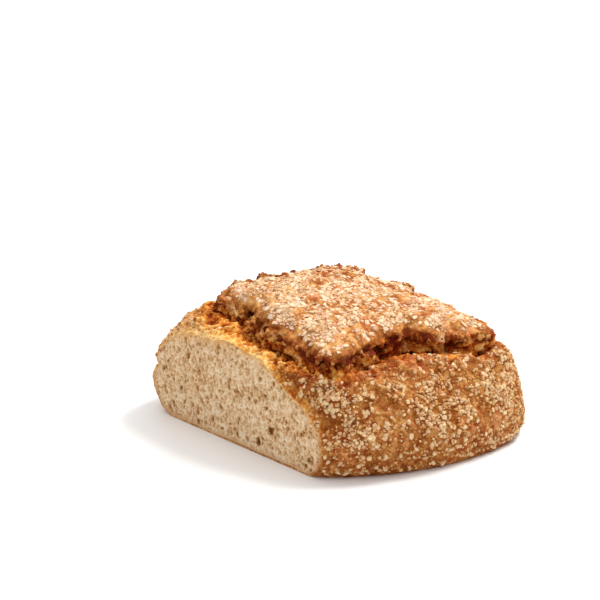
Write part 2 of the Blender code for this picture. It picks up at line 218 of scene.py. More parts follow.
# Rings of a bit from its middle above to its middle below: share of its radius, height by thickness.
BIT_RINGS = ((0.0, 0.30), (0.55, 0.52), (1.0, 0.05), (0.80, -0.45), (0.0, -0.6))
SEED = 11


def smooth_step(value, low, high):
    """0 below low and 1 above high, softly between them, or turned round if low is the larger."""
    part = np.clip((value - low) / (high - low), 0.0, 1.0)
    return part * part * (3.0 - 2.0 * part)


def unit(vectors):
    """Vectors brought to length 1."""
    return vectors / np.maximum(np.linalg.norm(vectors, axis=-1, keepdims=True), 1e-9)


def facing(angle, degrees, narrow=1):
    """1 where the angle is so many degrees, fading to 0 a quarter turn away, faster if narrow is more."""
    return np.maximum(0.0, np.cos(angle - math.radians(degrees))) ** narrow


def toward(angle, direction):
    """1 where the angle points in the named direction, fading to 0 away from it."""
    return facing(angle, *DIRECTIONS[direction])


def reach(angle, sides, squareness):
    """Distance from the middle to a polygon with rounded corners."""
    total = 0.0
    for side_angle, distance in sides:
        total = total + np.maximum(0.0, np.cos(angle - math.radians(side_angle)) / distance) ** squareness
    return total ** (-1.0 / squareness)


def lobes(angle):
    """How far the lobes of the lid's edge stand out at an angle."""
    total = 0.0
    for middle, half_width, push in LID_LOBES:
        aside = (angle - math.radians(middle) + math.pi) % (2 * math.pi) - math.pi
        total = total + push * np.exp(-(aside / math.radians(half_width)) ** 2)
    return total


def with_extra(value, table, name, angle):
    """A station's value, with what it has more of towards each direction in a table."""
    for direction, more in table.get(name, {}).items():
        value = value + more * toward(angle, direction)
    return value


def outline(station, angle):
    """The points of one station, for an array of angles."""
    name, share, outset, size, height = station
    share = with_extra(share, EXTRA_SHARE, name, angle)
    if name in ("base", "low"):
        for direction, fuller in FOOT_FULLER.items():
            outset = outset * (1 - fuller * toward(angle, direction))
    outset = with_extra(outset, EXTRA_OUTSET, name, angle)
    bulge = reach(angle, BULGE_SIDES, BULGE_SQUARENESS)
    lid = reach(angle, LID_SIDES, LID_SQUARENESS) + lobes(angle)
    radius = (bulge * (1 - share) + lid * share) * size + outset
    front, far = radius * np.cos(angle), radius * np.sin(angle)
    slope = np.clip((height - SLOPE_STARTS) / (SLOPE_FULL - SLOPE_STARTS), 0, 1)
    up = height - (SLOPE_TO_FRONT * front + SLOPE_TO_FAR * far) * slope
    up = with_extra(up, EDGE_RISE, name, angle)
    x = far * math.cos(LOAF_TURN) - front * math.sin(LOAF_TURN)
    y = -front * math.cos(LOAF_TURN) - far * math.sin(LOAF_TURN)
    return np.stack([x, y, up], axis=-1)


def between(outlines, place):
    """The outline at a place up the stations, on a smooth curve through them."""
    step = min(int(place), len(outlines) - 2)
    part = place - step
    a, b = outlines[max(step - 1, 0)], outlines[step]
    c, d = outlines[step + 1], outlines[min(step + 2, len(outlines) - 1)]
    return 0.5 * (2 * b + (c - a) * part + (2 * a - 5 * b + 4 * c - d) * part ** 2
                  + (3 * b - a - 3 * c + d) * part ** 3)


def lumps(point, shape, seed):
    """Smooth noise with lumps of the given size and height."""
    size, height = shape
    return height * noise.noise(Vector(point) / size + Vector((seed, 3.7 * seed, -2.3 * seed)))


def past(place, name, start, end):
    """0 up to start past the named station, 1 from end past it, softly between."""
    return smooth_step(place, PLACE[name] + start, PLACE[name] + end)


def near_place(place, name, width):
    """1 at the named station, fading away from it."""
    return np.exp(-((place - PLACE[name]) / width) ** 2)


def relief(place, point):
    """How far the crust stands out at a point of the smooth loaf."""
    stands_out = lumps(point, BROAD_LUMPS, 1) + lumps(point, DOUGH_LUMPS, 2)
    stands_out += near_place(place, "rim", 0.8) * lumps(point, RIM_LUMPS, 3)
    ragged = near_place(place, "lip", 1.2)
    stands_out += ragged * (lumps(point, LIP_LUMPS, 4) + lumps(point, LIP_CRUMBS, 5))
    stands_out += min(max(place - PLACE["brow"], 0.0), 1.0) * lumps(point, LID_LUMPS, 6)
    if point[1] > 0:
        across = (point[2] - CREVICE_HEIGHT) / CREVICE_WIDTH
        along = (point[0] + CUT_DISTANCE) / CREVICE_LENGTH
        stands_out -= CREVICE_DEPTH * math.exp(-across ** 2 - along ** 2)
    stands_out *= 1 - GROOVE_CALM * near_place(place, "groove", 0.8)
    return stands_out * min(max(point[2] / RELIEF_STARTS, 0.0), 1.0)


def loaf_grid():
    """Rows of points up the loaf, one for each column's angle, with their relief."""
    outlines = [outline(station, COLUMN_ANGLES) for station in STATIONS]
    grid = np.array([between(outlines, place) for place in ROW_PLACES])
    outward = unit(grid - np.array([0.0, 0.0, HEART_HEIGHT]))
    height = np.array([[relief(place, point) for point in row] for place, row in zip(ROW_PLACES, grid)])
    return grid + outward * height[..., None]


# ------------ noise for whole arrays of points


def cell_random(cell, seed):
    """A repeatable random number from 0 to 1 for each whole-number cell."""
    mixed = (cell[..., 0] * 73856093) ^ (cell[..., 1] * 19349663) ^ (cell[..., 2] * 83492791)
    mixed = (mixed ^ (seed * 2654435761)) & 0xFFFFFFFF
    mixed = ((mixed ^ (mixed >> 15)) * 2246822519) & 0xFFFFFFFF
    mixed = ((mixed ^ (mixed >> 13)) * 3266489917) & 0xFFFFFFFF
    return ((mixed ^ (mixed >> 16)) & 0xFFFFFF) / float(0xFFFFFF)


def soft_noise(points, size, seed):
    """Smooth noise from -1 to 1, its lumps as large as size, which may differ by axis."""
    scaled = points / np.asarray(size)
    cell = np.floor(scaled).astype(np.int64)
    part = scaled - cell
    part = part ** 3 * (part * (part * 6 - 15) + 10)
    total = np.zeros(points.shape[:-1])
    for corner in itertools.product((0, 1), repeat=3):
        weight = np.prod([part[..., k] if corner[k] else 1 - part[..., k] for k in range(3)], axis=0)
        total += weight * cell_random(cell + np.array(corner), seed)
    return 2 * total - 1


def layered_noise(points, size, seed, layers=3):
    """Soft noise with finer layers added, each half as large and half as strong."""
    total = sum(soft_noise(points, size / 2 ** k, seed + k) / 2 ** k for k in range(layers))
    return total / sum(1 / 2 ** k for k in range(layers))


def grains(points, size, seed, half_width, uneven):
    """Grains about size apart, one round each scattered seed: more than 0 inside them, some larger."""
    away, number = nearest_seed(points, size, seed)
    return half_width - away + uneven * (number - 0.5)


def nearest_seed(points, size, seed):
    """Distance to the nearest of scattered seeds, in cells, and a random number that belongs to it."""
    scaled = points / np.asarray(size)
    cell = np.floor(scaled).astype(np.int64)
    nearest = np.full(points.shape[:-1], 9.0)
    number = np.zeros_like(nearest)
    for offset in itertools.product((-1, 0, 1), repeat=3):
        there = cell + np.array(offset)
        spot = there + np.stack([cell_random(there, seed + k) for k in range(3)], axis=-1)
        away = np.linalg.norm(spot - scaled, axis=-1)
        number = np.where(away < nearest, cell_random(there, seed + 3), number)
        nearest = np.minimum(nearest, away)
    return nearest, number


def weighted(weights, parts):
    """The sum of named parts, each times its weight."""
    return sum(weight * parts[name] for name, weight in weights.items())


# ------------ meshes from arrays


def add_object(name, data):
    """A new object in the scene, with a mesh, a light or a camera as its data."""
    thing = bpy.data.objects.new(name, data)
    bpy.context.scene.collection.objects.link(thing)
    return thing


def new_piece(name, points, faces, smooth=True):
    """A mesh object from points in millimetres about the loaf's middle."""
    data = bpy.data.meshes.new(name)
    placed = (np.asarray(points) + FOOTPRINT_SHIFT) * MM
    data.from_pydata(placed, [], faces if isinstance(faces, list) else faces.tolist())
    data.polygons.foreach_set("use_smooth", [smooth] * len(data.polygons))
    data.update()
    return add_object(name, data)


def read(items, field, width, kind=np.float32):
    """One field of many mesh items, as rows of numbers."""
    flat = np.empty(len(items) * width, dtype=kind)
    items.foreach_get(field, flat)
    return flat.reshape(-1, width)


def piece_points(thing):
    """A piece's points, in millimetres about the loaf's middle."""
    return read(thing.data.vertices, "co", 3).astype(float) / MM - FOOTPRINT_SHIFT


def piece_normals(thing):
    """The smooth normals at a piece's points."""
    return read(thing.data.vertex_normals, "vector", 3).astype(float)


def move_points(thing, points):
    """Give a piece new points, in millimetres about the loaf's middle."""
    placed = ((points + FOOTPRINT_SHIFT) * MM).astype(np.float32)
    thing.data.vertices.foreach_set("co", placed.ravel())
    thing.data.update()


def store(thing, **fields):
    """Keep numbers for each point of a piece, under their names, for its material."""
    for name, values in fields.items():
        attribute = thing.data.attributes.new(name, "FLOAT", "POINT")
        attribute.data.foreach_set("value", np.asarray(values, dtype=np.float32))


def apply_modifiers(thing):
    """Replace a piece's mesh by its evaluated one and drop its modifiers."""
    graph = bpy.context.evaluated_depsgraph_get()
    data = bpy.data.meshes.new_from_object(thing.evaluated_get(graph))
    thing.modifiers.clear()
    thing.data = data


@contextmanager
def edited(thing):
    """A piece's mesh opened for editing and put back when the edit is done."""
    mesh = bmesh.new()
    mesh.from_mesh(thing.data)
    yield mesh
    mesh.to_mesh(thing.data)
    mesh.free()


def triangles_of(thing):
    """The point numbers at the corners of each triangle."""
    thing.data.calc_loop_triangles()
    return read(thing.data.loop_triangles, "vertices", 3, np.int32)


# ------------ crust


def grid_normals(grid):
    """Outward normals of the grid's points."""
    along = np.roll(grid, -1, axis=1) - np.roll(grid, 1, axis=1)
    return unit(np.cross(along, np.gradient(grid, axis=0)))


def crust_zones(place, angle):
    """How strongly each kind of crust shows at a place up the loaf and an angle round it."""
    torn_from = PLACE["rim"] + 0.35 - 1.2 * facing(angle, 264, 2)
    torn = smooth_step(place, torn_from - 0.3, torn_from + 0.4)
    torn = torn * (1 - past(place, "groove", 0.2, 1.2))
    lid = past(place, "lip", 0.1, 0.6)
    return {
        "all": 1.0,
        "torn": torn,
        "cliff": past(place, "groove", 0.0, 1.0) * (1 - lid),
        "edge": near_place(place, "lip", 0.65),
        "gap": near_place(place, "groove", 0.35),
        "lid": lid,
        "side": 1 - past(place, "shoulder", 0.3, 1.0),
        "rim": near_place(place, "rim", 0.5) * (1 - torn),
    }


def grid_point(grid, place, degrees):
    """The grid point nearest to a place up the loaf at an angle."""
    row = int(np.argmin(np.abs(np.array(ROW_PLACES) - place)))
    return grid[row, int(degrees / 360 * COLUMNS) % COLUMNS]


def crags(points, place, angle):
    """Crust forms from about 3 mm up: how far each grid point stands out, and how deep in a cave or pit it
    is, for painted shade there.
    """
    zone = crust_zones(place, angle)
    forms = {
        "even": 1.0,
        "folds": layered_noise(points, 11.0, 21, 2),
        "crag": layered_noise(points, 5.0, 25, 3),
        "knobs": grains(points, 5.5, 31, 0.55, 0.4),
        "crumbs": grains(points, 3.6, 36, 0.5, 0.5),
        "strings": 1 - 2 * np.abs(layered_noise(points, 6.0, 41, 3)),
        "fissures": 1 - smooth_step(np.abs(layered_noise(points, 14.0, 51, 3)), 0.0, 0.10),
        "ledges": layered_noise(points, np.array([11.0, 11.0, 4.0]), 57, 2),
    }
    cave = np.zeros(points.shape[:-1])
    for degrees, up, half_width, half_height, depth in CAVES:
        away = (points - grid_point(points, up, degrees)) / np.array([half_width, half_width, half_height])
        hollow = depth * smooth_step(np.linalg.norm(away, axis=-1) + 0.35 * forms["crag"], 1.3, 0.3)
        cave = cave + hollow * (place > PLACE["groove"]) * (1 - zone["lid"] * (depth > 0))
    away, number = nearest_seed(points, (9.0, 9.0, 7.0), 66)
    pit = smooth_step(0.40 + 0.2 * number - away, 0.0, 0.22)
    pit = pit * near_place(place, "lip", 0.7) * (number > 0.45)

    zone["sliced gap"] = facing(angle, 264, 4) * zone["gap"]
    zone["under the front"] = facing(angle, 352, 2) * near_place(place, "under", 0.6)
    zone["lid edge"] = near_place(place, "lip", 1.0) * zone["lid"] * (1 + 0.6 * facing(angle, 170))
    zone["outside"] = zone["side"] + zone["rim"]
    height = sum(zone[kind] * weighted(heights, forms) for kind, heights in CRAG_HEIGHTS.items())
    height -= cave + PIT_DEPTH * pit
    return height * smooth_step(points[..., 2], 0.5, 8.0), np.clip(cave / 4 + 0.8 * pit, 0, 1)


def grit(points, zone):
    """Crust forms from 1 to 3 mm: how far each point of the fine mesh stands out."""
    fine = layered_noise(points, 2.4, 81, 2)
    grain = grains(points, 2.3, 85, 0.5, 0.6)
    broken = np.clip(zone["torn"] + 0.35 * zone["cliff"] + 0.5 * zone["rim"], 0, 1)
    height = 0.25 * fine + broken * (0.45 * fine + 0.55 * grain) + zone["side"] * 0.20 * grain
    return height * smooth_step(points[:, 2], 0.3, 3.0)


def bare_loaf(grid):
    """The whole loaf before slicing: the grid closed with a middle point below and above."""
    rows, columns, _ = grid.shape
    index = np.arange(rows * columns).reshape(rows, columns)
    following = np.roll(index, -1, axis=1)
    sides = np.stack([index[:-1], following[:-1], following[1:], index[1:]], axis=-1)
    faces = sides.reshape(-1, 4).tolist()
    under, over = rows * columns, rows * columns + 1
    faces += [(under, b, a) for a, b in zip(index[0].tolist(), following[0].tolist())]
    faces += [(over, a, b) for a, b in zip(index[-1].tolist(), following[-1].tolist())]
    return new_piece("crust", [*grid.reshape(-1, 3), grid[0].mean(axis=0), grid[-1].mean(axis=0)], faces)


def nearest_on(targets, points):
    """For each point, the number of the nearest target and how far it is."""
    tree = kdtree.KDTree(len(targets))
    for k, target in enumerate(targets):
        tree.insert(target, k)
    tree.balance()
    found = [tree.find(point) for point in points]
    return np.array([hit[1] for hit in found]), np.array([hit[2] for hit in found])


def hollowness(thing, rounds):
    """How far each point lies below the surface smoothed so many times, in millimetres."""
    points = piece_points(thing)
    a, b = read(thing.data.edges, "vertices", 2, np.int32).T
    neighbours = np.bincount(np.concatenate([a, b]), minlength=len(points))[:, None]
    smoothed = points
    for _ in range(rounds):
        total = [np.bincount(a, column[b], len(points)) + np.bincount(b, column[a], len(points))
                 for column in smoothed.T]
        smoothed = 0.5 * smoothed + 0.5 * np.stack(total, axis=-1) / neighbours
    return np.sum((smoothed - points) * piece_normals(thing), axis=1)


def keep_largest(mesh):
    """Drop loose scraps, so that one body is left."""
    left, bodies = set(mesh.verts), []
    while left:
        body, front = [], [left.pop()]
        while front:
            vert = front.pop()
            body.append(vert)
            for edge in vert.link_edges:
                other = edge.other_vert(vert)
                if other in left:
                    left.discard(other)
                    front.append(other)
        bodies.append(body)
    bodies.sort(key=len)
    bmesh.ops.delete(mesh, geom=[vert for body in bodies[:-1] for vert in body], context="VERTS")


def cut_end(thing):
    """Cut the sliced end off and leave it open. Returns the numbers of the open rim's points, in order."""
    plane = Vector((-CUT_DISTANCE + FOOTPRINT_SHIFT[0], 0, 0)) * MM
    with edited(thing) as mesh:
        bmesh.ops.bisect_plane(mesh, geom=mesh.verts[:] + mesh.edges[:] + mesh.faces[:], dist=1e-7,
                               plane_co=plane, plane_no=(-1, 0, 0), clear_outer=True)
        keep_largest(mesh)
        return open_rim(mesh)


def open_rim(mesh):
    """The numbers of the points along a mesh's open rim, in order."""
    mesh.verts.index_update()
    onward = {}
    for edge in mesh.edges:
        if edge.is_boundary:
            loop = edge.link_loops[0]
            onward[loop.vert.index] = loop.link_loop_next.vert.index
    first, turn = onward.popitem()
    rim = [first]
    while turn != first:
        rim.append(turn)
        turn = onward[turn]
    return rim


def even_outline(border, step):
    """A closed outline with its points a step apart, always turning the same way round."""
    closed = np.concatenate([border, border[:1]])
    lengths = np.concatenate([[0], np.cumsum(np.linalg.norm(np.diff(closed, axis=0), axis=1))])
    places = np.linspace(0, lengths[-1], int(lengths[-1] / step), endpoint=False)
    even = np.stack([np.interp(places, lengths, closed[:, k]) for k in range(2)], axis=-1)
    onward = np.roll(even, -1, axis=0)
    area = np.sum(even[:, 0] * onward[:, 1] - onward[:, 0] * even[:, 1]) / 2
    return even if area > 0 else even[::-1]


def softened(even, rounds):
    """A closed outline with its small corners smoothed away."""
    for _ in range(rounds):
        even = (np.roll(even, 1, axis=0) + 2 * even + np.roll(even, -1, axis=0)) / 4
    return even


def inward(even):
    """Directions square to a closed outline, pointing to its inside."""
    along = unit(np.roll(even, -1, axis=0) - np.roll(even, 1, axis=0))
    return np.stack([-along[:, 1], along[:, 0]], axis=-1)


def on_cut(flat):
    """Points of the cut plane, from (y, z), in millimetres."""
    return np.concatenate([np.full((len(flat), 1), -CUT_DISTANCE), flat], axis=1)


def crumb_border(border):
    """Where crust turns to crumb on the cut: the crust's outline moved in by an uneven width."""
    even = softened(even_outline(border, BORDER_STEP), 8)
    width = RING_WIDTH + RING_UNEVEN * layered_noise(on_cut(even), 9.0, 71)
    width = width - RING_THINNER_ABOVE * smooth_step(even[:, 1], 30.0, 50.0)
    inner = even + inward(even) * width[:, None]
    for _ in range(6):
        _, away = nearest_on(on_cut(border), on_cut(inner))
        inner += inward(inner) * np.maximum(0.0, RING_LEAST - away)[:, None]
        inner = softened(inner, 2)
    return even_outline(inner, BORDER_STEP)


def inside(points, polygon):
    """Which (y, z) points lie inside a closed outline."""
    odd = np.zeros(len(points), dtype=bool)
    for a, b in zip(polygon, np.roll(polygon, -1, axis=0)):
        if a[1] != b[1]:
            crosses = (a[1] > points[:, 1]) != (b[1] > points[:, 1])
            odd ^= crosses & (points[:, 0] < (b[0] - a[0]) * (points[:, 1] - a[1]) / (b[1] - a[1]) + a[0])
    return odd


def filled(outlines, within=()):
    """Triangles between closed outlines and points within them, as numbers into all the points in order."""
    points = np.concatenate([*outlines, *within])
    edges, start = [], 0
    for loop in outlines:
        numbers = np.arange(start, start + len(loop))
        edges += np.stack([numbers, np.roll(numbers, -1)], axis=-1).tolist()
        start += len(loop)
    found = geometry.delaunay_2d_cdt([Vector(point) for point in points.tolist()], edges, [], 1, 1e-5)
    origin = np.array([numbers[0] for numbers in found[3]])
    return origin[np.array(found[2])]


def close_cut(thing, rim):
    """Close the open end by a ring of crust round a pocket for the crumb. Returns the pocket's outline."""
    border = piece_points(thing)[rim][:, 1:]
    inner = crumb_border(border)
    triangles = filled([border, inner])
    centres = np.concatenate([border, inner])[triangles].mean(axis=1)
    in_pocket = inside(centres, inner)
    with edited(thing) as mesh:
        mesh.verts.ensure_lookup_table()
        verts = [mesh.verts[number] for number in rim]
        for depth in (0.0, POCKET_DEPTH):
            for point in on_cut(inner) + np.array([depth, 0, 0]) + FOOTPRINT_SHIFT:
                verts.append(mesh.verts.new(point * MM))
        edge = len(rim) + np.arange(len(inner))
        onward = np.roll(edge, -1)
        floor = len(inner)
        walls = np.stack([edge, onward, onward + floor, edge + floor], axis=-1)
        for faces in (triangles[~in_pocket], triangles[in_pocket] + floor, walls):
            for corners in faces.tolist():
                mesh.faces.new([verts[corner] for corner in corners])
        bmesh.ops.recalc_face_normals(mesh, faces=mesh.faces[:])
        for face in mesh.faces:
            face.smooth = True
    return inner


def clusters_on(points, zone, angle):
    """How thickly the gritty bits lie on the sides, from 0 to 1."""
    up, off_cut = points[:, 2], points[:, 0] + CUT_DISTANCE
    clumped = smooth_step(layered_noise(points, 13.0, 121, 3), 0.0, 0.17)
    band = 0.28 + 0.72 * smooth_step(up, 18.0, 42.0)
    tufts = smooth_step(layered_noise(points, 6.0, 127, 2), -0.20, 0.10)
    right_end, left_side = facing(angle, 50, 6), facing(angle, 240, 3)
    low_front = facing(angle, 353, 10) * (1 - smooth_step(up, 30.0, 48.0))
    far_side = facing(angle, 115, 2)
    thick = np.clip(clumped * band + 0.34 * right_end, 0, 1) * (0.04 + 0.96 * tufts)
    thick = thick * (1 - 0.7 * left_side) * (1 - 0.5 * low_front) * (1 - 0.4 * far_side)
    thick = thick * (0.45 + 0.55 * smooth_step(off_cut, 4.0, 20.0))
    return thick * np.clip(zone["side"] + 0.2 * zone["rim"], 0, 1)


def toast_of(points, place, angle, zone, cave, hollow, deep):
    """How dark the crust is baked, from 0, pale, to 1, burnt, with painted shade in hollows, caves and
    among the bits and painted light on the front cliff.
    """
    crag_tips = smooth_step(layered_noise(points, 7.0, 155, 2), -0.15, 0.2)
    causes = {
        "even": 1.0,
        "near the floor": 1 - smooth_step(points[:, 2], 2.0, 18.0),
        "up the cliff": past(place, "under", -0.1, 0.9),
        "at the edge": zone["edge"],
        "far edge": facing(angle, 135, 2) * near_place(place, "brow", 1.2),
        "far crags": facing(angle, 165) * near_place(place, "lip", 1.4) * crag_tips,
        "back left": facing(angle, 205, 3) * near_place(place, "brow", 0.8),
        "behind the cut": smooth_step(points[:, 0] + CUT_DISTANCE, 2.0, 14.0),
        "sliced side": facing(angle, 264, 4),
        "left side": facing(angle, 232, 4),
        "near corner": facing(angle, 310, 20),
        "nose": facing(angle, 314, 8),
        # The front cause paints light on the cliff; the bits, cave, deep and hollow causes paint shade.
        "front": facing(angle, 355, 2),
        "bits": zone["bits"],
        "cave": cave,
        "deep": deep,
        "hollow": hollow,
        "broad patches": layered_noise(points, 10.0, 141, 2),
        "fine patches": layered_noise(points, 4.0, 145, 3),
        "edge patches": layered_noise(points, 6.0, 149, 2),
    }
    return sum(causes[cause] * weighted(by_zone, zone) for cause, by_zone in TOAST_AND_SHADE.items())


def torn_share(points, place, angle, zone, cave):
    """Where the crust is torn open and golden, with patchy edges and a thin golden line along the cut."""
    patchy = layered_noise(points, 6.0, 151, 3)
    low_cliff = 1 - past(place, "under", 0.1, 1.1)
    low_cliff = (0.8 + 0.4 * facing(angle, 235, 3)) * low_cliff
    on_cliff = zone["cliff"] * smooth_step(patchy + low_cliff, 0.1, 0.5) * 0.9
    share = smooth_step(zone["torn"] + 0.35 * zone["rim"] + 0.5 * patchy, 0.3, 0.65)
    off_cut, up = points[:, 0] + CUT_DISTANCE, points[:, 2]
    along_cut = 0.8 * (1 - smooth_step(off_cut, 0.5, 4.5)) * smooth_step(up, 12.0, 45.0)
    # Less golden in caves and pits: painted shade.
    return np.clip(np.maximum(np.maximum(share, along_cut), on_cliff) * (1 - 0.4 * cave), 0, 1)


def make_crust():
    """The crust as one closed body with a shallow pocket for the crumb.

    Returns it with the pocket's outline and its points' zones, places and angles.
    """
    grid = loaf_grid()
    place, angle = np.meshgrid(ROW_PLACES, COLUMN_ANGLES, indexing="ij")
    height, cave = crags(grid, place, angle)
    grid = grid + grid_normals(grid) * height[..., None]
    grid[..., 2] = np.maximum(grid[..., 2], 0.0)

    crust = bare_loaf(grid)
    remesh = crust.modifiers.new("even", "REMESH")
    remesh.mode = "VOXEL"
    remesh.voxel_size = VOXEL * MM
    apply_modifiers(crust)

    grid, place, angle, cave = grid.reshape(-1, 3), place.ravel(), angle.ravel(), cave.ravel()
    points, normals = piece_points(crust), piece_normals(crust)
    nearest, _ = nearest_on(grid, points)
    height = grit(points, crust_zones(place[nearest], angle[nearest]))
    move_points(crust, points + normals * height[:, None])
    decimate = crust.modifiers.new("thin_out", "DECIMATE")
    decimate.ratio = min(1.0, CRUST_TRIANGLES / len(triangles_of(crust)))
    apply_modifiers(crust)
    pocket = close_cut(crust, cut_end(crust))

    points = piece_points(crust)
    nearest, _ = nearest_on(grid, points)
    place, angle, cave = place[nearest], angle[nearest], cave[nearest]
    zone = crust_zones(place, angle)
    zone["bits"] = clusters_on(points, zone, angle)
    # Fine and broad hollows, measured here, get painted shade in the crust's colour.
    hollow = np.clip(hollowness(crust, FINE_ROUNDS), -0.4, 1.0)
    deep = np.clip(hollowness(crust, BROAD_ROUNDS) / 1.6, -0.15, 1.0)
    redness = weighted(RED_ZONES, zone) + 1.2 * layered_noise(points, 10.0, 131, 3)
    rough = np.clip(zone["cliff"] + zone["torn"] + 0.4 * zone["rim"], 0, 1)
    store(crust, toast=toast_of(points, place, angle, zone, cave, hollow, deep),
          torn=torn_share(points, place, angle, zone, cave), red=smooth_step(redness, -0.4, 0.6),
          lively=0.75 + 0.25 * rough, cut=points[:, 0] < -CUT_DISTANCE + 0.01)
    return crust, pocket, zone, place, angle


# ------------ crumb


def bubble_map(low, high, rng):
    """How deep the bubbles that the knife opened go, on an even map of the cut face."""
    depth = np.zeros(((high - low) / MAP_STEP).astype(int) + 1)
    for count, smallest, largest in BUBBLES:
        radii = rng.uniform(smallest, largest, count)
        middles = rng.uniform(low, high, (count, 2))
        sunk = rng.uniform(*BUBBLE_SUNK, count)
        taller = rng.uniform(1.0, BUBBLE_TALLEST, count)
        for radius, middle, share, stretch in zip(radii, middles, sunk, taller):
            half = np.array([radius, radius * stretch]) / MAP_STEP
            at = (middle - low) / MAP_STEP
            first = np.maximum(0, (at - half).astype(int))
            last = np.minimum(depth.shape, (at + half).astype(int) + 2)
            window = tuple(slice(*ends) for ends in zip(first, last))
            y, z = np.ogrid[window]
            away = ((y - at[0]) / half[0]) ** 2 + ((z - at[1]) / half[1]) ** 2
            hollow = radius * (share + np.sqrt(np.maximum(0.0, 1 - away)))
            hollow[away > 1 - share ** 2] = 0
            depth[window] = np.maximum(depth[window], hollow)
    return depth


def read_map(depth, low, flat):
    """The map's depth at (y, z) points, blended between its cells."""
    at = np.clip((flat - low) / MAP_STEP, 0, np.array(depth.shape) - 1.001)
    cell = at.astype(int)
    (y, z), (along, up) = cell.T, (at - cell).T
    below, above = (depth[y, row] * (1 - along) + depth[y + 1, row] * along for row in (z, z + 1))
    return below * (1 - up) + above * up


def make_crumb(pocket, rng):
    """The soft crumb in the pocket: a closed slab, its open side full of cut bubbles."""
    low, high = pocket.min(axis=0) - 1, pocket.max(axis=0) + 1
    steps_y = np.arange(low[0], high[0], CRUMB_STEP)
    steps_z = np.arange(low[1], high[1], CRUMB_STEP * math.sqrt(3) / 2)
    lattice = [(y + (row % 2) * CRUMB_STEP / 2, z) for row, z in enumerate(steps_z) for y in steps_y]
    lattice = np.array(lattice)
    lattice += rng.uniform(-CRUMB_JITTER, CRUMB_JITTER, lattice.shape) * CRUMB_STEP
    lattice = lattice[inside(lattice, pocket)]
    _, away = nearest_on(on_cut(pocket), on_cut(lattice))
    lattice, away = lattice[away > CRUMB_CLEAR], away[away > CRUMB_CLEAR]

    flat = np.concatenate([pocket, lattice])
    away = np.concatenate([np.zeros(len(pocket)), away])
    spots = on_cut(flat)
    warp = np.stack([layered_noise(spots, 2.6, seed, 2) for seed in (91, 95)], axis=-1)
    depth = read_map(bubble_map(low, high, rng), low, flat + CRUMB_WARP * warp)
    depth += 0.28 * layered_noise(spots, 1.3, 101, 2) + 0.3 * layered_noise(spots, 9.0, 105, 2) + 0.25
    depth = np.clip(depth, -0.1, POCKET_DEPTH - POCKET_FLOOR_LEFT) * smooth_step(away, 0.0, 0.9)
    spots[:, 0] += depth

    back = on_cut(pocket) + np.array([POCKET_DEPTH, 0, 0])
    start, ring = len(spots), len(pocket)
    faces = filled([pocket], [lattice]).tolist()
    for a in range(ring):
        b = (a + 1) % ring
        faces += [(b, a, start + a), (b, start + a, start + b)]
    faces += (filled([pocket]) + start)[:, ::-1].tolist()
    crumb = new_piece("crumb", np.concatenate([spots, back]), faces)
    with edited(crumb) as mesh:
        bmesh.ops.recalc_face_normals(mesh, faces=mesh.faces[:])
    golden = (1 - smooth_step(away, 0.0, 7.0)) * smooth_step(flat[:, 1], 50.0, 60.0)
    fields = {"depth": depth, "away": away, "golden": golden}
    store(crumb, **{name: np.concatenate([values, np.zeros(ring)]) for name, values in fields.items()})
    return crumb


# ------------ flakes and crumbs that lie on the crust


def spread(crust, chance, count, spacing, rng):
    """Spots on the crust where a point's chance is high, count at most: their places and normals."""
    corners = triangles_of(crust)
    points, normals = piece_points(crust), piece_normals(crust)
    a, b, c = (points[corners[:, k]] for k in range(3))
    weight = np.linalg.norm(np.cross(b - a, c - a), axis=1) * chance[corners].mean(axis=1)
    running = np.cumsum(weight)
    drawn = np.searchsorted(running, rng.uniform(0, running[-1], count * 3))
    u, v = rng.uniform(0, 1, (2, len(drawn)))
    over = u + v > 1
    u[over], v[over] = 1 - u[over], 1 - v[over]
    spots = a[drawn] + u[:, None] * (b - a)[drawn] + v[:, None] * (c - a)[drawn]
    kept, taken = [], {}
    for number, spot in enumerate(spots):
        cell = tuple(np.floor(spot / spacing).astype(int))
        around = itertools.product((-1, 0, 1), repeat=3)
        close = [taken.get((cell[0] + i, cell[1] + j, cell[2] + k)) for i, j, k in around]
        if any(other is not None and np.sum((spots[other] - spot) ** 2) < spacing ** 2 for other in close):
            continue
        taken[cell] = number
        kept.append(number)
        if len(kept) == count:
            break
    return spots[kept], normals[corners[drawn[kept], 0]]


